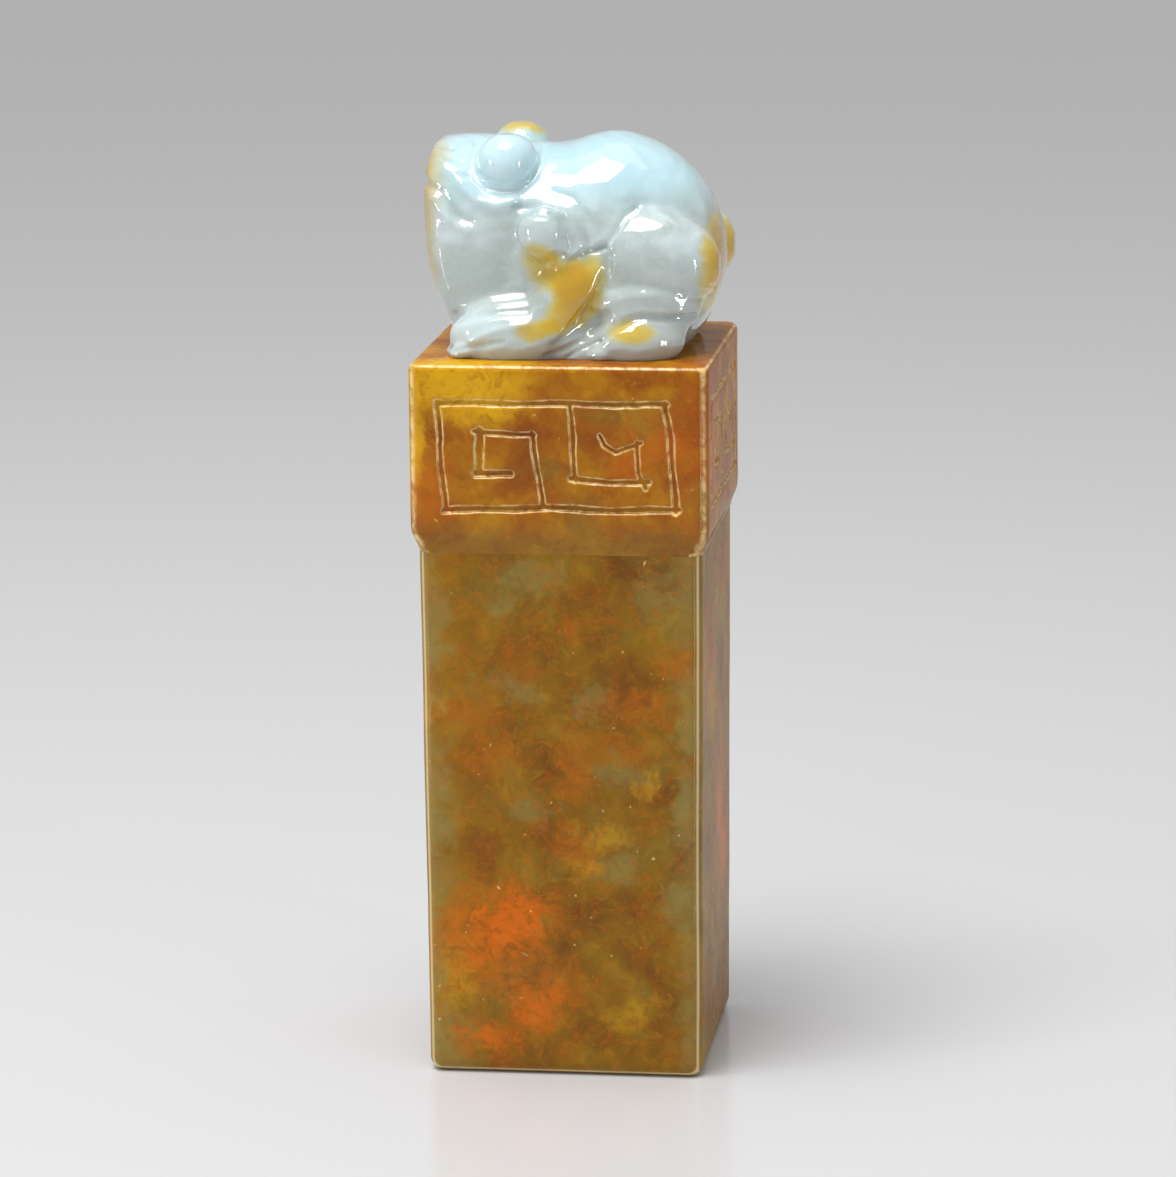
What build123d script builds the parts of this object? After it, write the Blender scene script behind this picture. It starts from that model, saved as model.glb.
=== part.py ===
from build123d import *
from math import cos, pi, sin
import os

# Seal stamp of carved jade, with a crouching frog as its knob. Millimetres, +Z up.
# The origin is the middle of the stamping face. The frog looks along -X, and its left
# flank is on -Y. The stone has three carved parts: the plain shaft that is held and
# stamped with, the collar with a key fret on each side, and the frog on top.

# Shaft: square, a little narrower at the stamping face than under the collar
shaft_width = 17.1
shaft_taper_width = 0.35
shaft_height = 32.4
shaft_edge_radius = 0.85
shaft_foot_chamfer = 0.5

# Collar: stands proud of the shaft all round, and tucks in to it in a curve at its lower edge
collar_step_width = 0.45
collar_height = 11.5
tuck_height = 1.9
rim_chamfer = 0.35

# Key fret on each side of the collar: a frame and two hooks, all one channel
fret_side_margin = 2.0
fret_top_margin = 2.1
fret_foot_margin = 2.5
channel_width = 0.5
channel_depth = 0.3

# One hook of the fret, from the frame's lower line inwards, in shares of the frame's
# half width and half height. The other hook is the same one turned half round.
hook_shares = ((-0.13, -1.0), (-0.13, 0.46), (-0.69, 0.46), (-0.69, -0.25), (-0.4, -0.25))

# Frog: as long as the collar, with a narrow ledge left beside its flanks. It is cut in flat
# facets, as a carver blocks the form out before rounding it.
frog_ledge_width = 1.0
frog_height = 13.0

# Sections of the body from snout to rump: place, half width, low side and top side, in
# shares of the length, width, height and height
body_shares = (
    (-0.487, 0.19, 0.46, 0.88),
    (-0.467, 0.26, 0.31, 0.94),
    (-0.422, 0.305, 0.15, 0.968),
    (-0.345, 0.325, 0.0, 0.975),
    (-0.245, 0.335, -0.08, 0.97),
    (-0.134, 0.335, -0.1, 0.945),
    (-0.036, 0.35, -0.1, 0.937),
    (0.057, 0.36, -0.1, 0.975),
    (0.144, 0.36, -0.1, 0.995),
    (0.247, 0.34, -0.08, 0.962),
    (0.35, 0.305, -0.03, 0.882),
    (0.43, 0.26, 0.08, 0.77),
    (0.478, 0.205, 0.2, 0.655),
    (0.5, 0.14, 0.3, 0.56),
)

# Lobes of the right flank: the middles of both ends, in shares of length, width and
# height, then the half size across the flank and the half size in it, in shares of
# width and height. The left flank mirrors them.
lobe_shares = {
    "eye": ((-0.308, 0.19, 0.866), (-0.098, 0.2, 0.87), 0.115, 0.142),
    "haunch": ((0.075, 0.305, 0.57), (0.51, 0.27, 0.39), 0.14, 0.245),
    "shank": ((0.11, 0.35, 0.26), (0.45, 0.29, 0.24), 0.12, 0.17),
    "foot": ((0.1, 0.4, 0.07), (0.425, 0.35, 0.08), 0.105, 0.12),
    "upper arm": ((-0.09, 0.32, 0.67), (0.05, 0.375, 0.385), 0.1, 0.13),
    "forearm": ((0.15, 0.37, 0.51), (-0.13, 0.4, 0.07), 0.085, 0.108),
    "hand": ((0.0, 0.4, 0.15), (-0.4, 0.38, 0.05), 0.1, 0.12),
}
lobe_ring_count = 6
blunt_share = 0.1

# Corners of a section, and how square it is: power 2 is an ellipse
body_corner_count = 24
lobe_corner_count = 16
back_power = 2.2
belly_power = 3.4
lobe_power = 2

shaft_foot_width = shaft_width - shaft_taper_width
collar_width = shaft_width + 2 * collar_step_width
collar_top = shaft_height + collar_height
frog_length = collar_width
frog_width = collar_width - 2 * frog_ledge_width


# The plain shaft, from the stamping face up to the collar
with BuildPart() as shaft:
    with BuildSketch():
        RectangleRounded(shaft_foot_width, shaft_foot_width, shaft_edge_radius)
    with BuildSketch(Plane.XY.offset(shaft_height)):
        RectangleRounded(shaft_width, shaft_width, shaft_edge_radius)
    loft(ruled=True)
    chamfer(shaft.edges().group_by(Axis.Z)[0], shaft_foot_chamfer)
shaft.part.label = "shaft"


# The collar from the side: straight flanks, each curving in to the shaft's width
with BuildSketch() as collar_outline:
    flank = collar_width / 2
    neck = shaft_width / 2
    tuck_top = shaft_height + tuck_height
    with BuildLine():
        Line((neck, shaft_height), (-neck, shaft_height))
        Spline((-neck, shaft_height), (-flank, tuck_top), tangents=((-0.5, 1), (0, 1)))
        Polyline((-flank, tuck_top), (-flank, collar_top), (flank, collar_top), (flank, tuck_top))
        Spline((flank, tuck_top), (neck, shaft_height), tangents=((0, -1), (-0.5, -1)))
    make_face()

# The fret's channel: the frame, and two hooks that grow from it
with BuildSketch() as fret:
    frame_width = collar_width - 2 * fret_side_margin
    frame_height = collar_height - fret_top_margin - fret_foot_margin
    Rectangle(frame_width + channel_width, frame_height + channel_width)
    Rectangle(frame_width - channel_width, frame_height - channel_width, mode=Mode.SUBTRACT)
    for turn in (1, -1):
        with BuildLine():
            Polyline(*[(turn * x * frame_width / 2, turn * y * frame_height / 2) for x, y in hook_shares])
        trace(line_width=channel_width)

# The collar: its outline from the front, cut by the same outline from the side
with BuildPart() as collar:
    with BuildSketch(Plane.XZ):
        add(collar_outline.sketch)
    extrude(amount=collar_width / 2, both=True)
    with BuildSketch(Plane.YZ):
        add(collar_outline.sketch)
    extrude(amount=collar_width / 2, both=True, mode=Mode.INTERSECT)
    corners = [
        edge for edge in collar.edges()
        if min(abs(edge.center().X), abs(edge.center().Y)) > shaft_width / 2
    ]
    fillet(corners, shaft_edge_radius)
    chamfer(collar.edges().group_by(Axis.Z)[-1], rim_chamfer)

    # the fret is cut into all four sides
    fret_height = shaft_height + (collar_height + fret_foot_margin - fret_top_margin) / 2
    for outward in (Vector(0, -1), Vector(1, 0), Vector(0, 1), Vector(-1, 0)):
        middle = outward * (collar_width / 2) + Vector(0, 0, fret_height)
        with BuildSketch(Plane(origin=middle, x_dir=Vector(0, 0, 1).cross(outward), z_dir=outward)):
            add(fret.sketch)
        extrude(amount=-channel_depth, mode=Mode.SUBTRACT)
collar.part.label = "collar"


def frog_point(shares):
    """A place on the frog, from shares of its length, width and height"""
    along, across, up = shares
    return Vector(along * frog_length, across * frog_width, collar_top + up * frog_height)


def oval(corners, half_width, half_height, upper_power, lower_power):
    """Corners of an oval, whose upper and lower halves may differ in squareness"""
    points = []
    for corner in range(corners):
        angle = 2 * pi * (corner + 0.5) / corners
        power = upper_power if sin(angle) > 0 else lower_power
        reach = (abs(cos(angle)) ** power + abs(sin(angle)) ** power) ** (-1 / power)
        points.append((half_width * reach * cos(angle), half_height * reach * sin(angle)))
    return points


def lobe_sections(start, end, across_share, along_share):
    """Planes and half sizes of a lobe's sections, small at both of its blunt ends"""
    axis = end - start
    sideways = Vector(0, 1, 0) - axis * (axis.Y / axis.dot(axis))
    for ring in range(lobe_ring_count):
        angle = pi * (blunt_share + (1 - 2 * blunt_share) * ring / (lobe_ring_count - 1))
        middle = (start + end) * 0.5 - axis * (cos(angle) / 2)
        plane = Plane(origin=middle, x_dir=sideways, z_dir=axis)
        yield plane, across_share * frog_width * sin(angle), along_share * frog_height * sin(angle)


# The frog: a lofted body, with eyes and folded limbs swelling out of both flanks
with BuildPart() as frog:
    for along, half_width, low, top in body_shares:
        middle = frog_point((along, 0, (low + top) / 2))
        halves = (half_width * frog_width, (top - low) / 2 * frog_height)
        with BuildSketch(Plane(origin=middle, x_dir=(0, 1, 0), z_dir=(1, 0, 0))):
            Polygon(*oval(body_corner_count, *halves, back_power, belly_power), align=None)
    loft(ruled=True)
    for start, end, across, along in lobe_shares.values():
        for plane, *halves in lobe_sections(frog_point(start), frog_point(end), across, along):
            with BuildSketch(plane):
                Polygon(*oval(lobe_corner_count, *halves, lobe_power, lobe_power), align=None)
        loft(ruled=True)
    # it sits flat on the collar, and its left half mirrors its right half
    split(bisect_by=Plane.XY.offset(collar_top), keep=Keep.TOP)
    split(bisect_by=Plane.XZ, keep=Keep.BOTTOM)
    mirror(about=Plane.XZ)
frog.part.label = "frog"

os.makedirs("parts", exist_ok=True)
for piece in (shaft, collar, frog):
    export_step(piece.part, f"parts/{piece.part.label}.step")
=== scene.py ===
from math import pi, radians

import bmesh
import bpy
import numpy as np
from mathutils import Matrix, Vector


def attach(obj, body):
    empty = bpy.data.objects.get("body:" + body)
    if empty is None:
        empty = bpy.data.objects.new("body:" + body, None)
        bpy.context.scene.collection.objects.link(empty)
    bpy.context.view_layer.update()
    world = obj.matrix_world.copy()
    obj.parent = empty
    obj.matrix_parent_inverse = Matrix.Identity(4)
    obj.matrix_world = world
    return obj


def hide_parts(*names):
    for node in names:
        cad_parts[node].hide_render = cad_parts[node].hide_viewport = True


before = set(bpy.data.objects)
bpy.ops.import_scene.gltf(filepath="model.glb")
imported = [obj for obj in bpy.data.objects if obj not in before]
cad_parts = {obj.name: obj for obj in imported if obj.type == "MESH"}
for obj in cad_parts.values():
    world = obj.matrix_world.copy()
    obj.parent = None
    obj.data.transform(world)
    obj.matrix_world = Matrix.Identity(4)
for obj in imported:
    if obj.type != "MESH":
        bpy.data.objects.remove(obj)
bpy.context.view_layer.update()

# The camera: a long lens, a little above the seal's middle and a few degrees round to its
# right. The sensor is in millimetres, the lens and the image's width are in pixels, the angles
# in degrees, and the place in metres along the camera's own axes.
sensor_width, image_width, lens_length = 36, 1176, 5454
azimuth, elevation, roll = 7.57, 11.76, -0.53
camera_turn = Matrix.Rotation(radians(azimuth), 4, "Z") @ Matrix.Rotation(radians(90 - elevation), 4, "X")
camera_place = Matrix.Translation(camera_turn @ Vector((0.00058, 0.02797, 0.3405)))
bpy.ops.object.select_all(action="DESELECT")
bpy.ops.object.camera_add()
camera = bpy.context.object
camera.name = "camera"
camera.matrix_world = camera_place @ camera_turn @ Matrix.Rotation(radians(roll), 4, "Z")
camera.data.sensor_fit = "HORIZONTAL"
camera.data.sensor_width = sensor_width
camera.data.lens = sensor_width * lens_length / image_width
camera.data.clip_start = 0.01
camera.data.clip_end = 20
bpy.context.scene.camera = camera
bpy.context.scene.view_settings.view_transform = "Standard"


# The shaft: the plain square part of the jade, which is held. It is sawn and ground, a little
# narrower towards the stamping face, then its edges are rounded and it is polished by hand.
shaft_width = 0.0171
shaft_foot_width = 0.01675
shaft_top = 0.0324
edge_radius = 0.00085
foot_radius = 0.0008
touching = 0.000001  # places nearer to each other than this count as one


def pick(kind, test):
    """In edit mode, selects only the edges or faces whose corners and normal pass the test"""
    bpy.ops.mesh.select_mode(type=kind)
    bpy.ops.mesh.select_all(action="DESELECT")
    form = bmesh.from_edit_mesh(bpy.context.object.data)
    form.normal_update()
    for part in form.edges if kind == "EDGE" else form.faces:
        normal = part.normal if kind == "FACE" else None
        part.select_set(test([corner.co for corner in part.verts], normal))
    bmesh.update_edit_mesh(bpy.context.object.data)


def cut_across(axis, places):
    """In edit mode, cuts the whole mesh across at each place along an axis"""
    direction = [float(axis == number) for number in range(3)]
    for place in places:
        bpy.ops.mesh.select_all(action="SELECT")
        bpy.ops.mesh.bisect(plane_co=[place * share for share in direction], plane_no=direction)


def block(name, width, low, high):
    """A new square block between two heights, left in edit mode"""
    bpy.ops.object.select_all(action="DESELECT")
    bpy.ops.mesh.primitive_cube_add(size=1, location=(0, 0, (low + high) / 2))
    made = bpy.context.object
    made.name = name
    made.scale = (width, width, high - low)
    bpy.ops.object.transform_apply(location=True, rotation=True, scale=True)
    bpy.ops.object.mode_set(mode="EDIT")
    return made


def upright(corners, normal):
    """Whether an edge runs up one corner of a block"""
    on_diagonals = all(abs(abs(place.x) - abs(place.y)) < touching for place in corners)
    return on_diagonals and corners[0].z != corners[1].z


def finish_block():
    """Merges doubled corners, leaves edit mode and shades the piece round, apart from sawn edges"""
    bpy.ops.mesh.select_all(action="SELECT")
    bpy.ops.mesh.remove_doubles(threshold=touching)
    bpy.ops.mesh.normals_make_consistent(inside=False)
    bpy.ops.object.mode_set(mode="OBJECT")
    bpy.ops.object.shade_smooth_by_angle(angle=radians(75))


def keep_flats_flat(piece):
    """Turns the shading of rounded edges so that the flats beside them stay flat"""
    bpy.ops.object.modifier_add(type="WEIGHTED_NORMAL")
    piece.modifiers[-1].weight = 60
    piece.modifiers[-1].keep_sharp = True
    bpy.ops.object.modifier_apply(modifier=piece.modifiers[-1].name)


shaft = block("shaft_stone", shaft_width, 0, shaft_top)
pick("FACE", lambda corners, normal: normal.z < -0.9)
bpy.ops.transform.resize(value=(shaft_foot_width / shaft_width, shaft_foot_width / shaft_width, 1),
                         center_override=(0, 0, 0))
pick("EDGE", upright)
bpy.ops.mesh.bevel(offset=edge_radius, offset_type="OFFSET", segments=7, profile=0.5)
pick("EDGE", lambda corners, normal: max(corner.z for corner in corners) < touching)
bpy.ops.mesh.bevel(offset=foot_radius, offset_type="OFFSET", segments=6, profile=0.5)
first_cut, cuts_apart, columns_apart = 0.0013, 0.00103, 0.0012
cut_across(2, [first_cut + cuts_apart * step for step in range(30)])
cut_across(0, [columns_apart * step for step in range(-6, 7)])
cut_across(1, [columns_apart * step for step in range(-6, 7)])
finish_block()

# grinding leaves long, shallow waves of a few hundredths of a millimetre, which die out
# towards both ends of the shaft
wave_length, wave_height, still_end = 0.006, 0.0001, 0.004
waved = shaft.vertex_groups.new(name="waved")
for corner in shaft.data.vertices:
    weight = min(1, corner.co.z / still_end, (shaft_top - corner.co.z) / still_end)
    if weight > 0:
        waved.add([corner.index], weight, "REPLACE")
ground_waves = bpy.data.textures.new("ground_waves", "CLOUDS")
ground_waves.noise_scale = wave_length
ground_waves.noise_depth = 1
bpy.ops.object.modifier_add(type="DISPLACE")
shaft.modifiers[-1].texture = ground_waves
shaft.modifiers[-1].texture_coords = "LOCAL"
shaft.modifiers[-1].vertex_group = "waved"
shaft.modifiers[-1].mid_level = 0.5
shaft.modifiers[-1].strength = wave_height
bpy.ops.object.modifier_apply(modifier=shaft.modifiers[-1].name)
keep_flats_flat(shaft)


def socket(group, way, kind, **named):
    """New sockets of a node group, by name and value"""
    for name, value in named.items():
        made = group.interface.new_socket(name=name.replace("_", " "), in_out=way,
                                          socket_type=f"NodeSocket{kind}")
        made.default_value = value


def node(tree, kind, values, settings=None):
    """A shader node with its settings, and its inputs, by name or number, set or linked"""
    made = tree.nodes.new(f"ShaderNode{kind}")
    for name, value in (settings or {}).items():
        setattr(made, name, value)
    for name, value in values.items():
        if isinstance(value, bpy.types.NodeSocket):
            tree.links.new(value, made.inputs[name])
        else:
            made.inputs[name].default_value = value
    return made


def math(tree, how, *values):
    """The result of a Math node"""
    return node(tree, "Math", dict(enumerate(values)), {"operation": how}).outputs[0]


def vectors(tree, how, *values):
    """The result of a Vector Math node"""
    return node(tree, "VectorMath", dict(enumerate(values)), {"operation": how}).outputs[0]


def noise(tree, place, scale, detail, roughness=0.5, distortion=0.0):
    """A Noise Texture node at a place"""
    return node(tree, "TexNoise", {"Vector": place, "Scale": scale, "Detail": detail, "Roughness": roughness,
                                   "Distortion": distortion})


def in_millimetres(tree):
    """The place in the stone, in millimetres"""
    return vectors(tree, "MULTIPLY", node(tree, "TexCoord", {}).outputs["Object"], (1000, 1000, 1000))


def eased(tree, value, low, high, to_low=0.0, to_high=1.0):
    """A value eased from one range to another"""
    values = dict(enumerate((value, low, high, to_low, to_high)))
    return node(tree, "MapRange", values, {"interpolation_type": "SMOOTHSTEP"}).outputs[0]


def coloured(tree, factor, *stops):
    """A colour for each value, from stops of place and colour"""
    made = node(tree, "ValToRGB", {0: factor})
    while len(made.color_ramp.elements) < len(stops):
        made.color_ramp.elements.new(0.5)
    for element, (place, colour) in zip(made.color_ramp.elements, stops):
        element.position = place
        element.color = (*colour, 1)
    return made.outputs[0]


def over(tree, factor, below, above):
    """A colour laid over another one where the factor is 1"""
    return node(tree, "Mix", {0: factor, 6: below, 7: (*above, 1)}, {"data_type": "RGBA"}).outputs[2]


# Jade is clouds of colour in a clear stone. This group gives its clouds, fine mottle and veins, and
# bright flecks that are painted glints, all measured in millimetres of the stone.
jade = bpy.data.node_groups.new("jade figure", "ShaderNodeTree")
socket(jade, "INPUT", "Float", Cloud_Size=4.0, Mottle_Size=0.9)
socket(jade, "OUTPUT", "Float", Cloud=0, Second_Cloud=0, Mottle=0, Veins=0, Flecks=0, Waves=0)
jade_in = jade.nodes.new("NodeGroupInput")
jade_out = jade.nodes.new("NodeGroupOutput")
stone = in_millimetres(jade)
swirl = noise(jade, stone, 0.35, 3.0).outputs["Color"]
swirled = vectors(jade, "MULTIPLY_ADD", swirl, (3, 3, 3), stone)
moved = vectors(jade, "ADD", swirled, (37, -21, 11))
cloud_scale = math(jade, "DIVIDE", 1.0, jade_in.outputs["Cloud Size"])
mottle_scale = math(jade, "DIVIDE", 1.0, jade_in.outputs["Mottle Size"])
cloud = noise(jade, swirled, cloud_scale, 6.0, 0.55).outputs[0]
second = noise(jade, moved, cloud_scale, 6.0, 0.6).outputs[0]
mottle = noise(jade, moved, mottle_scale, 5.0, 0.65, 0.6).outputs[0]
vein = noise(jade, swirled, 0.42, 7.0, 0.62).outputs[0]
vein = math(jade, "ABSOLUTE", math(jade, "SUBTRACT", vein, 0.5))
veins = eased(jade, vein, 0.0, 0.022, 1.0, 0.0)
# painted glints: small bright flecks where the cells come close
cells = node(jade, "TexVoronoi", {"Vector": moved, "Scale": 1.1, "Randomness": 1.0}).outputs["Distance"]
thinned = noise(jade, stone, 1.9, 2.0).outputs[0]
painted_glints = math(jade, "MULTIPLY", eased(jade, cells, 0.03, 0.16, 1.0, 0.0), eased(jade, thinned, 0.55, 0.65))
waves = noise(jade, stone, 0.8, 2.0, 0.4).outputs[0]
for name, value in (("Cloud", cloud), ("Second Cloud", second), ("Mottle", mottle), ("Veins", veins),
                    ("Flecks", painted_glints), ("Waves", waves)):
    jade.links.new(value, jade_out.inputs[name])

# A patch of another colour in the stone: a soft ball round a middle, in millimetres
patch = bpy.data.node_groups.new("stone patch", "ShaderNodeTree")
socket(patch, "INPUT", "Vector", Place=(0, 0, 0), Middle=(0, 0, 0), Reach=(1, 1, 1))
socket(patch, "OUTPUT", "Float", Mask=0)
patch_in = patch.nodes.new("NodeGroupInput")
patch_out = patch.nodes.new("NodeGroupOutput")
offset = vectors(patch, "SUBTRACT", patch_in.outputs["Place"], patch_in.outputs["Middle"])
offset = vectors(patch, "DIVIDE", offset, patch_in.outputs["Reach"])
distance = node(patch, "VectorMath", {0: offset}, {"operation": "LENGTH"}).outputs["Value"]
patch.links.new(eased(patch, distance, 0.3, 1.5, 1.0, 0.0), patch_out.inputs["Mask"])

# A painted highlight: pale lines on the rounded edges and on the lips of a cut, where polish catches the
# light and lets it through. This group finds them by how far the surface turns away from the block's own
# directions.
painted_edge_highlight = bpy.data.node_groups.new("worn edges", "ShaderNodeTree")
socket(painted_edge_highlight, "INPUT", "Float", Least=0.04, Full=0.2)
socket(painted_edge_highlight, "OUTPUT", "Float", Mask=0)
painted_edge_highlight_in = painted_edge_highlight.nodes.new("NodeGroupInput")
painted_edge_highlight_out = painted_edge_highlight.nodes.new("NodeGroupOutput")
facing_way = vectors(painted_edge_highlight, "ABSOLUTE", node(painted_edge_highlight, "TexCoord", {}).outputs["Normal"])
ways = node(painted_edge_highlight, "SeparateXYZ", {0: facing_way}).outputs
straight = math(painted_edge_highlight, "MAXIMUM", math(painted_edge_highlight, "MAXIMUM", ways[0], ways[1]), ways[2])
turned = math(painted_edge_highlight, "SUBTRACT", 1.0, straight)
painted_edge_highlight_mask = eased(painted_edge_highlight, turned, painted_edge_highlight_in.outputs["Least"], painted_edge_highlight_in.outputs["Full"])
painted_edge_highlight.links.new(painted_edge_highlight_mask, painted_edge_highlight_out.inputs["Mask"])


def jade_material(name, cloud_size, mottle_size):
    """A new material with its figure group and its shader, which has no colour yet"""
    material = bpy.data.materials.new(name)
    material.use_nodes = True
    tree = material.node_tree
    tree.nodes.clear()
    figure = node(tree, "Group", {"Cloud Size": cloud_size, "Mottle Size": mottle_size}, {"node_tree": jade})
    shader = node(tree, "BsdfPrincipled", {"IOR": 1.6, "Coat IOR": 1.6, "Subsurface Weight": 0.3})
    output = tree.nodes.new("ShaderNodeOutputMaterial")
    tree.links.new(shader.outputs[0], output.inputs[0])
    return material, tree, figure, shader


def polish(tree, figure, shader, colour, unevenness, **sockets):
    """Gives the shader its colour, the values of its sockets by name, and a slightly uneven polish"""
    tree.links.new(colour, shader.inputs["Base Color"])
    for name, value in sockets.items():
        shader.inputs[name.replace("_", " ")].default_value = value
    waves = figure.outputs["Waves"]
    bump = node(tree, "Bump", {"Strength": unevenness, "Distance": 0.00006, "Height": waves})
    for name in ("Normal", "Coat Normal"):
        tree.links.new(bump.outputs[0], shader.inputs[name])


def ragged_place(tree, amount, fineness):
    """The place in the stone in millimetres, warped so that a patch gets a ragged edge"""
    spot = in_millimetres(tree)
    warp = noise(tree, spot, fineness, 7.0, 0.68).outputs["Color"]
    warp = vectors(tree, "SUBTRACT", warp, (0.5, 0.5, 0.5))
    return vectors(tree, "MULTIPLY_ADD", warp, (amount, amount, amount), spot)


def patches(tree, place, *patch_list):
    """The masks of several patches run together, each with its middle and its reach"""
    mask = None
    for middle, reach in patch_list:
        values = {"Place": place, "Middle": middle, "Reach": reach}
        one = node(tree, "Group", values, {"node_tree": patch}).outputs[0]
        mask = one if mask is None else math(tree, "ADD", mask, one)
    return mask


def threaded(tree, mask, figure):
    """A mask broken up into threads by the fine mottle of the stone"""
    threads = eased(tree, figure.outputs["Mottle"], 0.36, 0.6, 0.5, 1.1)
    return math(tree, "MULTIPLY", mask, threads)


def share(tree, mask, value):
    """A part of a mask's strength"""
    return math(tree, "MULTIPLY", mask, value)


mottled, tree, figure, shader = jade_material("mottled_jade_polished", 3.4, 0.6)
place = ragged_place(tree, 5.0, 0.55)
colour = coloured(tree, figure.outputs["Cloud"], (0.34, (0.15, 0.052, 0.001)), (0.46, (0.19, 0.08, 0.001)),
                  (0.56, (0.23, 0.11, 0.001)), (0.68, (0.29, 0.15, 0.004)))
spot = node(tree, "SeparateXYZ", {0: place}).outputs
colour = over(tree, share(tree, eased(tree, spot[0], 0.0, -8.0), 0.4), colour, (0.33, 0.155, 0.002))
olive = eased(tree, figure.outputs["Second Cloud"], 0.52, 0.66)
colour = over(tree, share(tree, olive, 0.5), colour, (0.2, 0.135, 0.015))
rusty = eased(tree, figure.outputs["Second Cloud"], 0.46, 0.34)
colour = over(tree, share(tree, rusty, 0.5), colour, (0.28, 0.078, 0.001))
# grey olive windows in the stone, then rust, then red with gold beside it: on the front as
# they are seen, and on the other sides in the same style
grey = patches(tree, place, ((-3.7, -8.5, 29.2), (1.2, 3, 0.9)), ((-1.7, -8.5, 31.3), (2.4, 3, 1.1)),
                            ((6.3, -8.5, 30.2), (2.0, 3, 2.0)), ((-7.6, -8.5, 27.5), (1.2, 3, 2.0)),
                            ((-2.8, -8.5, 24.1), (1.3, 3, 1.0)), ((1.9, -8.5, 23.2), (1.2, 3, 1.0)),
                            ((7.8, -8.5, 21.9), (1.4, 3, 1.2)), ((3.2, -8.5, 19.1), (1.9, 3, 1.2)),
                            ((7.4, -8.5, 17.0), (1.1, 3, 2.2)), ((-7.6, -8.5, 16.2), (1.5, 3, 2.8)),
                            ((-1.9, -8.5, 16.5), (1.5, 3, 0.9)), ((3.2, -8.5, 13.0), (2.0, 3, 1.1)),
                            ((7.1, -8.5, 11.0), (1.5, 3, 1.2)), ((-7.3, -8.5, 2.0), (1.9, 3, 3.0)),
                            ((8.5, 4.0, 27.0), (3, 2.2, 1.8)), ((8.5, -1.0, 5.0), (3, 2.4, 1.8)),
                            ((-4.0, 8.5, 27.0), (2.4, 3, 1.8)), ((3.0, 8.5, 12.0), (2.2, 3, 2.4)),
                            ((-8.5, -4.0, 14.0), (3, 2.0, 2.4)), ((-8.5, 4.5, 29.0), (3, 2.0, 1.6)))
colour = over(tree, share(tree, eased(tree, grey, 0.0, 1.4), 0.7), colour, (0.235, 0.185, 0.045))
rust = patches(tree, place, ((0.8, -8.5, 28.3), (0.9, 3, 0.8)), ((6.9, -8.5, 25.9), (1.2, 3, 1.3)),
                            ((4.6, -8.5, 23.0), (2.0, 3, 1.1)), ((3.2, -8.5, 20.6), (2.0, 3, 0.9)),
                            ((0.7, -8.5, 18.6), (1.2, 3, 1.8)), ((-5.7, -8.5, 22.5), (2.2, 3, 1.2)),
                            ((-4.6, -8.5, 19.8), (2.2, 3, 1.4)), ((0.6, -8.5, 14.2), (1.2, 3, 1.4)),
                            ((0.2, -8.5, 5.7), (1.5, 3, 1.8)), ((-1.7, -8.5, 4.0), (1.3, 3, 1.3)),
                            ((-4.7, -8.5, 1.9), (1.8, 3, 1.0)), ((8.5, 2.5, 14.0), (3, 4.2, 6.0)),
                            ((8.5, -4.0, 25.0), (3, 3.2, 3.6)), ((8.5, 4.5, 29.0), (3, 2.6, 2.0)),
                            ((2.5, 8.5, 20.0), (5.0, 3, 5.0)), ((-4.5, 8.5, 6.0), (3.2, 3, 4.0)),
                            ((5.5, 8.5, 29.0), (3.0, 3, 2.4)), ((-8.5, 0.0, 21.0), (3, 4.5, 5.6)),
                            ((-8.5, 4.0, 6.0), (3, 3.6, 4.4)), ((-8.5, -5.0, 29.0), (3, 2.6, 2.4)))
colour = over(tree, share(tree, threaded(tree, rust, figure), 0.6), colour, (0.37, 0.1, 0.001))
dark = patches(tree, place, ((-4.9, -8.5, 14.2), (1.3, 3, 1.0)), ((6.8, -8.5, 30.7), (0.8, 3, 0.5)))
colour = over(tree, share(tree, dark, 0.6), colour, (0.19, 0.05, 0.001))
red = patches(tree, place, ((-4.6, -8.5, 8.6), (3.2, 3.5, 3.2)), ((-2.9, -8.5, 10.0), (2.0, 3, 1.8)),
                           ((-1.6, -8.5, 4.2), (1.7, 3, 1.6)), ((-4.6, -8.5, 2.2), (1.8, 3, 0.9)),
                           ((8.5, 4.0, 11.6), (3, 2.0, 2.2)), ((8.5, 1.6, 14.8), (3, 1.8, 1.6)),
                           ((4.0, 8.5, 21.0), (1.8, 3, 1.6)), ((1.0, 8.5, 18.4), (2.2, 3, 1.4)),
                           ((-8.5, -1.4, 23.0), (3, 1.8, 1.5)), ((-8.5, 1.2, 19.6), (3, 1.6, 2.2)),
                           ((-8.5, 5.0, 4.0), (3, 1.6, 1.5)))
colour = over(tree, share(tree, threaded(tree, red, figure), 0.75), colour, (0.58, 0.12, 0.001))
gold = patches(tree, place, ((-7.0, -8.5, 6.0), (1.5, 3, 2.0)), ((0.8, -8.5, 13.2), (1.0, 3, 0.8)),
                            ((2.6, -8.5, 15.1), (1.8, 3, 1.0)), ((4.9, -8.5, 18.3), (0.6, 3, 1.3)),
                            ((4.2, -8.5, 4.1), (1.5, 3, 1.0)), ((-8.2, -8.5, 22.4), (1.0, 3, 1.1)),
                            ((8.5, -2.5, 22.5), (3, 2.6, 2.2)), ((-3.5, 8.5, 8.5), (2.6, 3, 2.6)),
                            ((-8.5, 2.5, 10.0), (3, 2.6, 2.6)))
colour = over(tree, share(tree, threaded(tree, gold, figure), 0.5), colour, (0.5, 0.26, 0.008))
darker = eased(tree, figure.outputs["Mottle"], 0.5, 0.32)
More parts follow.
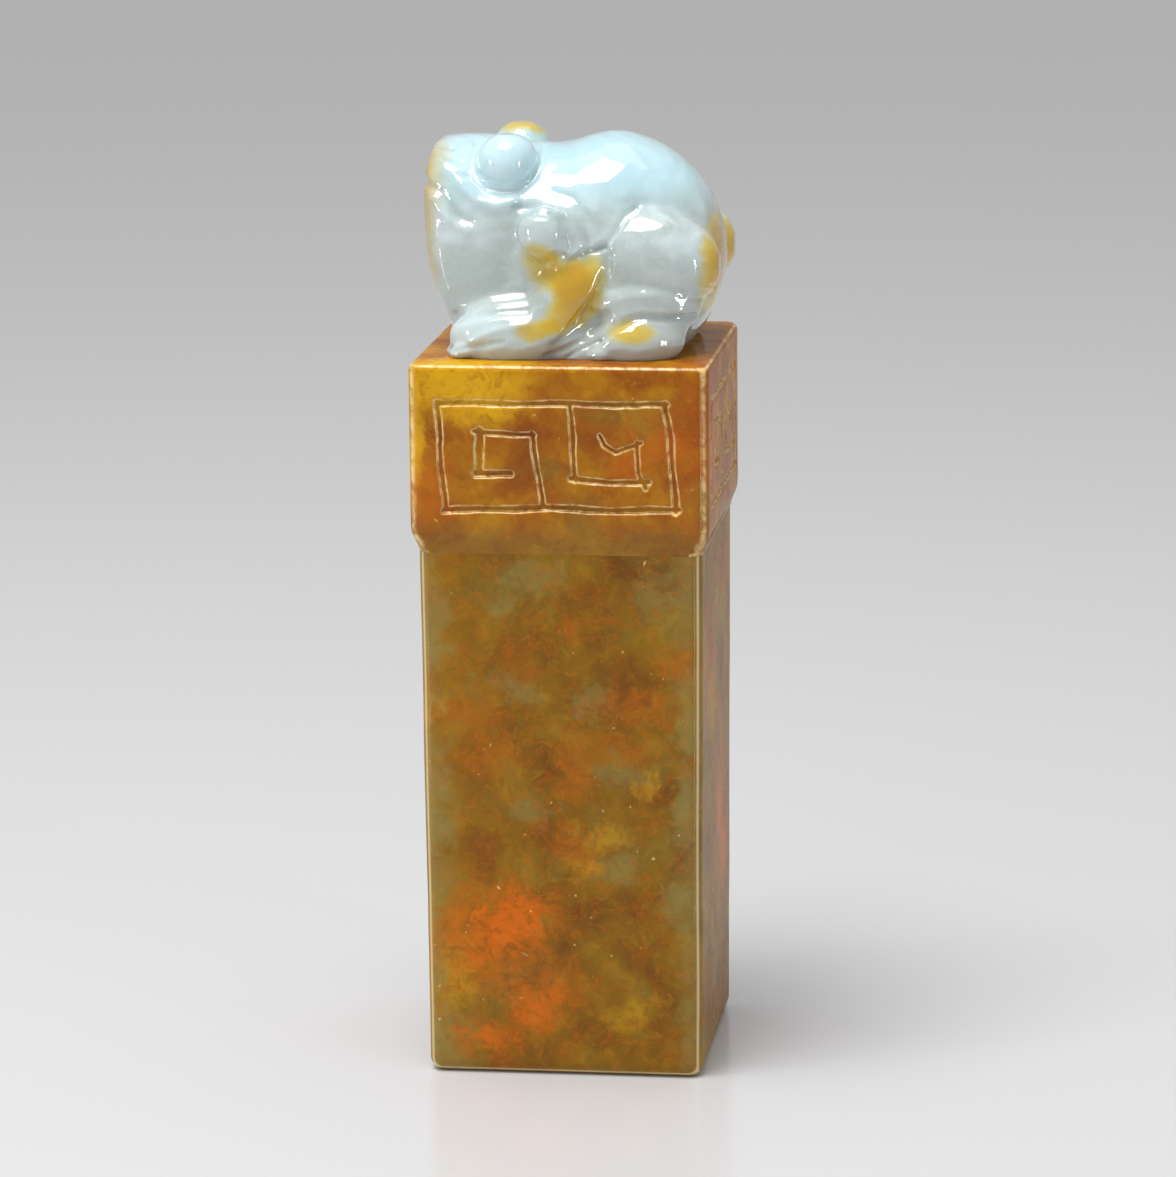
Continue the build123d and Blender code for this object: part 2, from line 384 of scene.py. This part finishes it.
colour = over(tree, share(tree, darker, 0.3), colour, (0.15, 0.055, 0.001))
lighter = eased(tree, figure.outputs["Mottle"], 0.53, 0.7)
colour = over(tree, share(tree, lighter, 0.3), colour, (0.4, 0.22, 0.012))
colour = over(tree, share(tree, figure.outputs["Veins"], 0.4), colour, (0.42, 0.1, 0.002))
# towards its corners the stone is thin enough for light to come through, and looks paler
outer = math(tree, "MINIMUM", math(tree, "ABSOLUTE", spot[0]), math(tree, "ABSOLUTE", spot[1]))
colour = over(tree, share(tree, eased(tree, outer, 6.4, 8.4), 0.4), colour, (0.28, 0.22, 0.07))
# painted highlight: pale lines along the rounded edges of the shaft
edges = node(tree, "Group", {"Least": 0.16, "Full": 0.28}, {"node_tree": painted_edge_highlight}).outputs[0]
colour = over(tree, share(tree, edges, 0.65), colour, (0.78, 0.63, 0.34))
# painted glints: small bright flecks in the stone
colour = over(tree, share(tree, figure.outputs["Flecks"], 0.7), colour, (0.8, 0.58, 0.18))
polish(tree, figure, shader, colour, 0.3, Roughness=0.1, Specular_IOR_Level=0.0, Coat_Weight=0.35,
       Coat_Roughness=0.04, Subsurface_Radius=(1.0, 0.45, 0.1), Subsurface_Scale=0.0004)
shaft.data.materials.clear()
shaft.data.materials.append(mottled)
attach(shaft, "root")
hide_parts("shaft")


# The collar: the same stone, left thick above the shaft, in the ochre brown skin of the
# pebble. A key fret is cut into each side with a small wheel, by hand, and polished over.
collar_width = 0.018
collar_foot = shaft_top
collar_top = 0.0439
tuck_height = 0.0019
rim_radius = 0.00045
fret_half_width = 0.0077
fret_low, fret_high = collar_foot + tuck_height, collar_top - 0.0014
nearby = 0.00001

collar = block("collar_stone", collar_width, collar_foot + tuck_height, collar_top)
# the lower edge curves in to the shaft's width: shares of the tuck's height, with widths
for drop, width in ((0.2, 0.01798), (0.37, 0.0179), (0.53, 0.01772), (0.68, 0.01747), (0.82, 0.01728),
                    (1.0, 0.01712)):
    pick("FACE", lambda corners, normal: normal.z < -0.9)
    form = bmesh.from_edit_mesh(collar.data)
    low_face = next(face for face in form.faces if face.select)
    now_low, now_wide = low_face.verts[0].co.z, 2 * abs(low_face.verts[0].co.x)
    step = collar_foot + tuck_height * (1 - drop) - now_low
    bpy.ops.mesh.extrude_region_move(TRANSFORM_OT_translate={"value": (0, 0, step)})
    bpy.ops.transform.resize(value=(width / now_wide, width / now_wide, 1), center_override=(0, 0, 0))
pick("EDGE", upright)
bpy.ops.mesh.bevel(offset=edge_radius, offset_type="OFFSET", segments=7, profile=0.5)
pick("EDGE", lambda corners, normal: min(corner.z for corner in corners) > collar_top - touching)
bpy.ops.mesh.bevel(offset=rim_radius, offset_type="OFFSET", segments=5, profile=0.5)
cut_across(2, (fret_low, fret_high))
cut_across(0, (-fret_half_width, 0, fret_half_width))
cut_across(1, (-fret_half_width, 0, fret_half_width))
# only the panels that hold the fret are fine enough to be cut
pick("FACE", lambda corners, normal: abs(normal.z) < 0.1 and max(abs(normal.x), abs(normal.y)) > 0.99
     and min(corner.z for corner in corners) > fret_low - nearby
     and max(corner.z for corner in corners) < fret_high + nearby
     and max(min(abs(corner.x), abs(corner.y)) for corner in corners) < fret_half_width + nearby)
bpy.ops.mesh.subdivide(number_cuts=99)
finish_block()


def distances(places, line):
    """How far each place is from a broken line, and how far along the line its nearest point is"""
    least = np.full(len(places), 1.0)
    along = np.zeros(len(places))
    done = 0.0
    for start, end in zip(line[:-1], line[1:]):
        run = end - start
        length = np.sqrt((run * run).sum())
        share_along = np.clip(((places - start) @ run) / (length * length), 0, 1)
        gap = np.sqrt(((places - start - share_along[:, None] * run) ** 2).sum(axis=1))
        nearer = gap < least
        least = np.where(nearer, gap, least)
        along = np.where(nearer, done + share_along * length, along)
        done += length
    return least, along


# the strokes of the fret as they were cut, in millimetres from the middle of a side and
# above the collar's foot: each is a line, with its width and depth
strokes = (
    (((-7.18, 9.25), (-7.05, 6.6), (-6.94, 4.5), (-6.75, 2.75)), 0.5, 0.25),
    (((-7.1, 9.18), (0.4, 9.21), (6.6, 9.22)), 0.5, 0.24),
    (((6.43, 9.3), (6.72, 7.4), (6.94, 5.0), (7.05, 2.75)), 0.54, 0.27),
    (((-6.85, 2.68), (-0.94, 2.92), (2.44, 2.82), (7.25, 2.88)), 0.54, 0.29),
    (((-0.92, 2.9), (-1.1, 4.7), (-1.31, 6.0), (-1.55, 7.45)), 0.46, 0.23),
    (((-1.4, 7.33), (-5.05, 7.45)), 0.44, 0.22),
    (((-4.7, 7.5), (-4.66, 5.0)), 0.72, 0.25),
    (((-4.9, 4.88), (-2.8, 5.0)), 0.62, 0.3),
    (((0.8, 9.2), (0.9, 7.05), (1.08, 4.55)), 0.48, 0.24),
    (((0.75, 4.68), (3.1, 4.54), (5.45, 4.53)), 0.48, 0.24),
    (((5.25, 4.15), (4.9, 4.95), (4.75, 6.95)), 0.42, 0.21),
    (((5.0, 6.9), (4.25, 6.64), (3.54, 6.38), (2.82, 6.76), (2.5, 7.35)), 0.4, 0.2),
)


def corner_places(piece):
    """The places of a mesh's corners, as rows of x, y and z"""
    places = np.empty(len(piece.data.vertices) * 3)
    piece.data.vertices.foreach_get("co", places)
    return places.reshape(-1, 3)


def move_corners(piece, places):
    """Moves a mesh's corners to new places"""
    piece.data.vertices.foreach_set("co", places.ravel())
    piece.data.update()


def cut_fret(piece):
    """Presses the strokes into each side of the collar, as channels with sloping walls"""
    places = corner_places(piece)
    wall_share = 0.6
    for outward, sideways in (((0, -1), (1, 0)), ((1, 0), (0, 1)), ((0, 1), (-1, 0)), ((-1, 0), (0, -1))):
        outward, sideways = np.array((*outward, 0.0)), np.array((*sideways, 0.0))
        on_side = places @ outward > collar_width / 2 - nearby
        across = (places[on_side] @ sideways) * 1000
        up = (places[on_side][:, 2] - collar_foot) * 1000
        # the hand wavers a little as it guides the wheel
        phase = 2.0 * outward[0] + outward[1]
        seen = np.stack((across + 0.04 * np.sin(1.6 * up + phase) + 0.01 * np.sin(5.1 * up),
                         up + 0.035 * np.sin(1.1 * across + 2 * phase) + 0.01 * np.sin(4.3 * across)), axis=1)
        height = np.zeros(len(seen))
        for number, (line, width, depth) in enumerate(strokes):
            gap, along = distances(seen, np.array(line))
            reach = width / 2 * (1 + 0.1 * np.sin(along * 1.7 + number * 2.1))
            wall = np.clip((1 - gap / reach) / wall_share, 0, 1)
            height = np.minimum(height, -depth * wall * wall * (3 - 2 * wall))
        places[on_side] += outward * (height / 1000)[:, None]
    move_corners(piece, places)


cut_fret(collar)
keep_flats_flat(collar)

russet, tree, figure, shader = jade_material("russet_jade_polished", 3.0, 0.7)
place = ragged_place(tree, 4.4, 0.55)
colour = coloured(tree, figure.outputs["Cloud"], (0.34, (0.23, 0.058, 0.001)), (0.46, (0.29, 0.088, 0.001)),
                  (0.56, (0.35, 0.135, 0.001)), (0.68, (0.4, 0.18, 0.003)))
golden = patches(tree, place, ((-5.5, -9, 42.6), (4.2, 4.0, 2.4)), ((-8.8, -9, 38.0), (0.9, 3, 3.0)))
colour = over(tree, share(tree, eased(tree, golden, 0.0, 1.2), 0.9), colour, (0.66, 0.37, 0.004))
red = patches(tree, place, ((9, -7.5, 38), (2.0, 3.5, 5.5)), ((6.0, -9, 39.6), (1.6, 3, 1.4)),
                           ((-7.8, -9, 36.4), (1.6, 2.5, 2.4)), ((4.2, -9, 38.0), (1.0, 3, 1.2)))
colour = over(tree, share(tree, red, 0.65), colour, (0.42, 0.09, 0.001))
grey = patches(tree, place, ((1.4, -9.2, 34.4), (1.4, 3, 1.8)), ((3.6, -9, 40.9), (2.4, 3, 0.9)),
                            ((-1.0, -9, 37.6), (1.2, 3, 1.0)), ((8.6, -9, 35.6), (0.8, 3, 1.4)))
height = node(tree, "SeparateXYZ", {0: place}).outputs[2]
foot = eased(tree, height, 34.9, 32.9)
grey = math(tree, "MAXIMUM", share(tree, grey, 0.55), share(tree, foot, 0.5))
colour = over(tree, grey, colour, (0.2, 0.12, 0.014))
darker = eased(tree, figure.outputs["Mottle"], 0.5, 0.32)
colour = over(tree, share(tree, darker, 0.4), colour, (0.2, 0.05, 0.001))
lighter = eased(tree, figure.outputs["Mottle"], 0.55, 0.7)
colour = over(tree, share(tree, lighter, 0.3), colour, (0.5, 0.25, 0.012))
colour = over(tree, share(tree, figure.outputs["Veins"], 0.22), colour, (0.42, 0.12, 0.002))
# painted glints: small bright flecks in the stone
colour = over(tree, share(tree, figure.outputs["Flecks"], 0.45), colour, (0.8, 0.52, 0.12))
# painted highlight: pale lines along the rounded edges and the lips of the fret, broken up by the mottle
edges = node(tree, "Group", {"Least": 0.08, "Full": 0.28}, {"node_tree": painted_edge_highlight}).outputs[0]
edges = math(tree, "MULTIPLY", edges, eased(tree, figure.outputs["Mottle"], 0.38, 0.62, 0.2, 0.8))
colour = over(tree, edges, colour, (0.84, 0.64, 0.28))
polish(tree, figure, shader, colour, 0.3, Roughness=0.1, Specular_IOR_Level=0.0, Coat_Weight=0.4,
       Coat_Roughness=0.03, Subsurface_Radius=(1.0, 0.4, 0.1), Subsurface_Scale=0.0004)
collar.data.materials.clear()
collar.data.materials.append(russet)
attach(collar, "root")
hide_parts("collar")


# The frog: the knob, cut out of the palest jade at the top of the stone. It crouches with its
# limbs folded against its flanks. Body, eyes, limbs and toes are rounded forms run into each
# other, and the mouth, lids, shoulder and folds are ridges and creases carved into them.
frog_length, frog_width, frog_height = 0.018, 0.016, 0.013
frog_front, frog_back, frog_top = -0.00899, 0.00927, 0.05694
back_power, belly_power = 2.2, 3.4

# sections from snout to rump: place, half width, low side and top side, as shares of the
# frog's length, width, height and height
frog_sections = np.array((
    (-0.487, 0.19, 0.46, 0.88), (-0.467, 0.26, 0.31, 0.94), (-0.422, 0.305, 0.15, 0.968),
    (-0.345, 0.325, 0.0, 0.975), (-0.245, 0.335, -0.08, 0.97), (-0.134, 0.335, -0.1, 0.945),
    (-0.036, 0.35, -0.1, 0.937), (0.057, 0.36, -0.1, 0.975), (0.144, 0.36, -0.1, 0.995),
    (0.247, 0.34, -0.08, 0.962), (0.35, 0.305, -0.03, 0.882), (0.43, 0.26, 0.08, 0.77),
    (0.478, 0.205, 0.2, 0.655), (0.5, 0.14, 0.3, 0.56)))


def eased_through(place, known, values):
    """A smooth curve through known values, read at any places"""
    slopes = np.gradient(values, known)
    number = np.clip(np.searchsorted(known, place) - 1, 0, len(known) - 2)
    run = known[number + 1] - known[number]
    t = np.clip((place - known[number]) / run, 0, 1)
    return ((2 * t ** 3 - 3 * t ** 2 + 1) * values[number] + (t ** 3 - 2 * t ** 2 + t) * run * slopes[number]
            + (3 * t ** 2 - 2 * t ** 3) * values[number + 1] + (t ** 3 - t ** 2) * run * slopes[number + 1])


# the body starts as a ball, whose rings are drawn out to the sections
bpy.ops.object.select_all(action="DESELECT")
bpy.ops.mesh.primitive_uv_sphere_add(segments=96, ring_count=80, radius=1)
frog = bpy.context.object
frog.name = "frog_knob"
ball = corner_places(frog)
turn = np.arctan2(ball[:, 1], ball[:, 0])
along = np.arccos(np.clip(ball[:, 2], -1, 1)) / pi
end_share = 0.06
snout_place, rump_place = frog_sections[0, 0], frog_sections[-1, 0]
place = np.interp(along, (0, end_share, 1 - end_share, 1), (snout_place, snout_place, rump_place, rump_place))
shrink = np.clip(np.minimum(along, 1 - along) / end_share, 0, 1)
half_wide, low_side, top_side = (eased_through(place, frog_sections[:, 0], frog_sections[:, column])
                                 for column in (1, 2, 3))
power = np.where(np.sin(turn) > 0, back_power, belly_power)
reach = (np.abs(np.cos(turn)) ** power + np.abs(np.sin(turn)) ** power) ** (-1 / power) * shrink
end_bulge = 0.0002 * (1 - shrink ** 2) * np.sign(along - 0.5)
middle, half_high = (low_side + top_side) / 2, (top_side - low_side) / 2
ball[:, 0] = place * frog_length + end_bulge
ball[:, 1] = half_wide * frog_width * reach * np.cos(turn)
ball[:, 2] = collar_top + frog_height * (middle + half_high * reach * np.sin(turn))
move_corners(frog, ball)
frog_parts = [frog]


def rounded(start, end, across, thick):
    """A long round form between two points on the right flank, and its mirror on the left one.
    Points are in millimetres, with heights above the collar."""
    for side in (1, -1):
        a, b = (Vector((x, y * side, z + collar_top * 1000)) / 1000 for x, y, z in (start, end))
        run = b - a
        sideways = (Vector((0, 1, 0)) - run * (run.y / run.length_squared)).normalized()
        third = run.normalized().cross(sideways)
        form = Matrix((run / 2, sideways * across / 1000, third * thick / 1000)).transposed().to_4x4()
        form.translation = (a + b) / 2
        bpy.ops.object.select_all(action="DESELECT")
        bpy.ops.mesh.primitive_uv_sphere_add(segments=40, ring_count=28, radius=1)
        bpy.context.object.data.transform(form)
        frog_parts.append(bpy.context.object)


def run_together(voxel, rounds):
    """Joins the frog's forms into one skin of small squares, and smooths it"""
    bpy.ops.object.select_all(action="DESELECT")
    for part in frog_parts:
        part.select_set(True)
    bpy.context.view_layer.objects.active = frog
    bpy.ops.object.join()
    del frog_parts[1:]
    for kind, settings in (("REMESH", {"mode": "VOXEL", "voxel_size": voxel}),
                           ("SMOOTH", {"factor": 0.5, "iterations": rounds})):
        bpy.ops.object.modifier_add(type=kind)
        for name, value in settings.items():
            setattr(frog.modifiers[-1], name, value)
        bpy.ops.object.modifier_apply(modifier=frog.modifiers[-1].name)


# haunch, shank, foot, upper arm and its ball, forearm and hand flow into the body
rounded((1.3, 4.5, 6.7), (9.4, 4.3, 5.0), 2.45, 3.0)
rounded((1.9, 5.2, 3.2), (8.3, 4.5, 3.2), 2.0, 2.4)
rounded((1.8, 6.1, 0.9), (7.4, 5.2, 1.1), 1.75, 1.6)
rounded((-2.3, 5.0, 8.3), (1.9, 5.4, 5.6), 1.65, 1.75)
rounded((-2.6, 5.9, 8.2), (0.6, 6.1, 6.8), 1.6, 1.65)
rounded((2.5, 5.4, 6.1), (-2.0, 5.9, 1.1), 1.5, 1.85)
rounded((1.0, 6.0, 1.7), (-7.0, 5.5, 1.0), 1.8, 2.2)
# the stone between hand and foot is left in
rounded((-1.8, 5.0, 0.3), (4.0, 5.0, 0.3), 1.7, 1.7)
run_together(0.00019, 26)
# eyes, and three toes on each hand and foot, stay crisper
rounded((-5.5, 3.05, 11.25), (-1.75, 3.15, 11.4), 1.88, 1.8)
for toe in range(3):
    spread = toe - 1
    rounded((-5.0, 5.9 + 0.8 * spread, 0.7), (-7.1 + 0.3 * abs(spread), 5.6 + 0.9 * spread, 0.2), 0.5, 0.5)
    rounded((3.6, 6.0 + 0.6 * spread, 0.6), (1.3 + 0.3 * abs(spread), 5.9 + 0.7 * spread, 0.2), 0.5, 0.5)
run_together(0.00013, 9)

# creases and ridges of the carving, seen from the side: in millimetres along the frog and
# above the collar, with their half width and their depth, which is negative for a ridge
carving = (
    # the fold under the eye, its strand to the snout, and the groove round the eye
    (((-7.3, 11.0), (-6.7, 10.6), (-5.95, 9.8), (-5.2, 9.2), (-4.1, 8.95), (-3.2, 9.1)), 0.42, -0.26),
    (((-7.9, 11.5), (-6.9, 11.15), (-6.2, 10.8)), 0.2, -0.1),
    (((-5.65, 12.3), (-5.75, 11.3), (-5.4, 10.5), (-4.7, 9.95), (-3.7, 9.7), (-2.7, 9.85), (-1.9, 10.5),
      (-1.6, 11.4), (-1.75, 12.3)), 0.2, 0.15),
    (((-5.2, 10.75), (-4.3, 10.4), (-3.4, 10.25)), 0.14, 0.07),
    # mouth, with the fold at its corner
    (((-9.2, 10.04), (-7.93, 9.94), (-7.4, 9.7), (-7.0, 9.1), (-6.5, 8.4), (-5.6, 8.0)), 0.24, 0.17),
    (((-7.95, 9.25), (-7.5, 8.75), (-7.0, 8.2), (-6.5, 7.75), (-5.9, 7.6)), 0.28, -0.14),
    # nostril
    (((-8.3, 12.2), (-7.6, 12.15), (-7.0, 12.05)), 0.14, 0.08),
    # the band over the shoulder
    (((-3.0, 9.2), (-1.6, 9.3), (-0.3, 9.2), (0.5, 8.7), (0.95, 7.7), (1.2, 6.7)), 0.34, -0.1),
    (((-2.9, 8.85), (-1.62, 8.85), (-0.5, 8.75), (0.1, 8.3), (0.45, 7.6), (0.7, 6.7)), 0.2, 0.16),
    (((-0.6, 9.75), (0.5, 9.5), (1.3, 8.7), (1.6, 7.6), (1.7, 7.0)), 0.22, 0.09),
    # the ball of the upper arm, the crease of the elbow and the back of the forearm
    (((0.2, 6.3), (0.56, 5.95), (1.25, 6.31), (1.9, 6.5), (2.6, 6.7)), 0.16, 0.24),
    (((2.75, 6.2), (2.7, 5.2), (2.3, 4.0), (1.5, 2.7), (0.6, 1.6), (-0.3, 0.9)), 0.28, 0.2),
    # the haunch: its front crease, its soft top crease and the lines on it
    (((2.2, 6.6), (2.8, 7.1), (3.3, 7.82), (3.75, 8.5), (4.32, 8.9)), 0.2, 0.2),
    (((3.94, 9.25), (5.1, 9.19), (6.17, 8.9), (7.41, 8.1), (8.3, 7.0)), 0.3, 0.07),
    (((4.9, 8.74), (6.26, 8.32), (7.61, 7.35), (8.5, 6.1)), 0.12, 0.05),
    # short marks on the rump
    (((8.25, 4.5), (8.9, 4.24)), 0.1, 0.1),
    (((8.1, 4.05), (8.8, 3.89)), 0.1, 0.1),
    (((7.67, 3.55), (8.6, 3.5)), 0.1, 0.1),
    # the hand: the crease above it, its ridge, and the gaps between its toes
    (((-6.6, 2.3), (-5.0, 2.65), (-3.68, 2.85), (-2.0, 3.0)), 0.28, 0.16),
    (((-5.41, 1.1), (-4.06, 1.75), (-1.87, 2.2)), 0.24, -0.12),
    (((-7.2, 0.35), (-5.2, 0.8), (-3.4, 1.15)), 0.14, 0.12),
    # the foot and the shank
    (((2.2, 1.2), (3.19, 2.0), (4.23, 2.5), (5.18, 2.6), (6.3, 2.45), (7.9, 2.5)), 0.22, 0.26),
    (((2.3, 3.0), (3.2, 3.55), (4.4, 3.9), (5.6, 3.9)), 0.3, -0.1),
    (((2.9, 4.2), (4.2, 4.6), (5.6, 4.5), (7.2, 4.0)), 0.25, 0.1),
    # folds of the belly in the recess between hand and foot
    (((-0.9, 0.2), (0.2, 0.6), (1.3, 1.2)), 0.18, 0.16),
    (((0.3, 0.1), (1.05, 0.6), (2.1, 1.1)), 0.14, 0.14),
)
form = corner_places(frog)
facing = np.empty(len(form) * 3)
frog.data.vertex_normals.foreach_get("vector", facing)
facing = facing.reshape(-1, 3)
side_view = np.stack((form[:, 0] * 1000, (form[:, 2] - collar_top) * 1000), axis=1)
# the carving stays off the middle of the back, and off what doesn't face sideways
bare_middle, fade = 0.0006, 0.001
on_flank = np.clip((np.abs(form[:, 1]) - bare_middle) / fade, 0, 1) * np.clip(np.abs(facing[:, 1]) * 3, 0, 1)
push = np.zeros(len(form))
for line, half_width, depth in carving:
    gap = distances(side_view, np.array(line))[0]
    push -= depth * np.exp(-(gap / half_width) ** 2) * on_flank
# the mouth runs on round the front of the snout, and rises a little to both sides
mouth_height, mouth_rise, mouth_depth, mouth_half_width = 10.0, 0.02, 0.18, 0.22
front_start, front_fade = 0.0082, 0.0004
from_mouth = side_view[:, 1] - mouth_height - mouth_rise * (form[:, 1] * 1000) ** 2
on_front = np.clip((-form[:, 0] - front_start) / front_fade, 0, 1)
push -= mouth_depth * np.exp(-(from_mouth / mouth_half_width) ** 2) * on_front
deepest, highest = -0.35, 0.3
form += facing * (np.clip(push, deepest, highest) / 1000)[:, None]
# small facets are left where the wheel cut, all over
facet_height = 0.00002
form += facing * (facet_height * np.sin(form[:, 0] * 2600 + 2 * np.sin(form[:, 2] * 1900))
                  * np.sin(form[:, 2] * 2300 + 2 * np.sin(form[:, 1] * 1700 + form[:, 0] * 900)))[:, None]
form[:, 0] = np.clip(form[:, 0], frog_front, frog_back)
form[:, 2] = np.minimum(form[:, 2], frog_top)
move_corners(frog, form)

# its foot is sawn flat where it grows out of the collar
bpy.ops.object.mode_set(mode="EDIT")
bpy.ops.mesh.select_all(action="SELECT")
bpy.ops.mesh.bisect(plane_co=(0, 0, collar_top), plane_no=(0, 0, 1), clear_inner=True, use_fill=True,
                    threshold=touching / 10)
bpy.ops.mesh.select_all(action="SELECT")
bpy.ops.mesh.normals_make_consistent(inside=False)
bpy.ops.object.mode_set(mode="OBJECT")
bpy.ops.object.shade_smooth()

icy, tree, figure, shader = jade_material("icy_jade_polished", 4.0, 1.1)
place = ragged_place(tree, 1.5, 0.6)
colour = coloured(tree, figure.outputs["Cloud"], (0.36, (0.34, 0.4, 0.38)), (0.5, (0.43, 0.5, 0.49)),
                  (0.64, (0.53, 0.61, 0.62)))
height = node(tree, "SeparateXYZ", {0: place}).outputs[2]
colour = over(tree, share(tree, eased(tree, height, 51.5, 55.0), 0.75), colour, (0.43, 0.67, 0.75))
colour = over(tree, share(tree, eased(tree, height, 51.0, 46.5), 0.65), colour, (0.37, 0.41, 0.38))
lighter = eased(tree, figure.outputs["Mottle"], 0.52, 0.7)
colour = over(tree, share(tree, lighter, 0.3), colour, (0.56, 0.63, 0.64))
colour = over(tree, share(tree, figure.outputs["Veins"], 0.12), colour, (0.36, 0.4, 0.38))
# painted highlight: paler patches on the eye and on the hand, where the lamps' reflections fall
pale = patches(tree, place, ((-3.8, -3.2, 55.2), (2.2, 2.4, 2.2)), ((-4.6, -6.5, 45.6), (3.0, 3.0, 1.5)))
colour = over(tree, share(tree, pale, 0.5), colour, (0.62, 0.76, 0.8))
ochre = patches(tree, place, ((-1.3, -6.5, 49.6), (1.3, 4, 1.5)), ((0.1, -6.5, 48.8), (1.2, 4, 1.1)),
                             ((1.5, -6.5, 49.0), (1.2, 4, 1.1)), ((1.1, -6.5, 47.6), (1.2, 4, 1.4)),
                             ((0.2, -6.5, 46.5), (1.2, 4, 1.0)), ((-1.3, -7.0, 45.7), (1.5, 3, 0.6)),
                             ((4.3, -7.0, 45.6), (1.4, 3, 0.7)), ((-3.4, 3.2, 57.0), (2.2, 1.6, 1.2)),
                             ((9.3, -2.5, 50.2), (1.1, 5, 2.4)), ((9.2, -2.5, 47.8), (1.25, 6, 2.8)),
                             ((9.4, 2.5, 49.8), (1.2, 5, 3.0)))
colour = over(tree, eased(tree, ochre, 0.05, 0.8), colour, (0.5, 0.43, 0.12))
colour = over(tree, eased(tree, ochre, 0.5, 1.4), colour, (0.55, 0.355, 0.001))
deep = patches(tree, place, ((9.4, -1.5, 49.2), (0.9, 5.5, 3.4)), ((0.9, -6.9, 48.2), (1.4, 2, 1.8)))
colour = over(tree, share(tree, eased(tree, deep, 0.1, 1.2), 0.7), colour, (0.43, 0.22, 0.001))
edge = patches(tree, place, ((-9.3, -2.6, 54.4), (2.0, 4.2, 3.2)), ((-9.3, -2.6, 49.6), (1.6, 4.0, 3.8)))
colour = over(tree, share(tree, edge, 0.9), colour, (0.48, 0.31, 0.02))
polish(tree, figure, shader, colour, 0.12, Roughness=0.07, Coat_Weight=0.8, Coat_Roughness=0.03,
       Subsurface_Radius=(1.0, 1.0, 1.0), Subsurface_Scale=0.0005)
frog.data.materials.clear()
frog.data.materials.append(icy)
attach(frog, "root")
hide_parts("frog")


# The table: one smooth pale sheet under the seal, a little glossy, that runs out of sight.
bpy.ops.object.select_all(action="DESELECT")
bpy.ops.mesh.primitive_plane_add(size=4, location=(0, 0, 0))
table = bpy.context.object
table.name = "table"
pale_sheet = bpy.data.materials.new("pale_sheet")
pale_sheet.use_nodes = True
sheet_shader = pale_sheet.node_tree.nodes["Principled BSDF"]
sheet_shader.inputs["Base Color"].default_value = (0.62, 0.62, 0.63, 1)
sheet_shader.inputs["Roughness"].default_value = 0.16
table.data.materials.append(pale_sheet)


# The light: a bright soft box above and in front, a dimmer one overhead, a broad one far off
# in front on the left, whose mirror image isn't seen, a narrow strip low on each side for the
# edges, and a dim room.
def soft_box(name, place, aim, width, height, watts):
    """A rectangular lamp that the camera doesn't see, turned towards a point"""
    bpy.ops.object.select_all(action="DESELECT")
    bpy.ops.object.light_add(type="AREA", location=place)
    lamp = bpy.context.object
    lamp.name = name
    lamp.rotation_euler = (Vector(aim) - Vector(place)).to_track_quat("-Z", "Y").to_euler()
    lamp.data.shape = "RECTANGLE"
    lamp.data.size = width
    lamp.data.size_y = height
    lamp.data.energy = watts
    lamp.visible_camera = False


soft_box("key_box", (-0.06, -0.09, 0.37), (0, 0, 0.05), 0.19, 0.2, 1.25)
soft_box("overhead_box", (-0.02, 0.04, 0.34), (0, 0, 0.05), 0.26, 0.22, 0.12)
soft_box("front_box", (-0.5, -0.85, 0.5), (0, 0, 0.03), 0.8, 0.8, 1.7)
soft_box("right_strip", (0.32, -0.24, 0.06), (0, 0, 0.02), 0.03, 0.1, 0.2)
soft_box("left_strip", (-0.36, -0.2, 0.07), (0, 0, 0.02), 0.025, 0.08, 0.25)
bpy.data.objects["front_box"].visible_glossy = False
room = bpy.data.worlds.new("dim_room")
room.use_nodes = True
room.node_tree.nodes["Background"].inputs[0].default_value = (1, 1, 1, 1)
room.node_tree.nodes["Background"].inputs[1].default_value = 0.5
bpy.context.scene.world = room
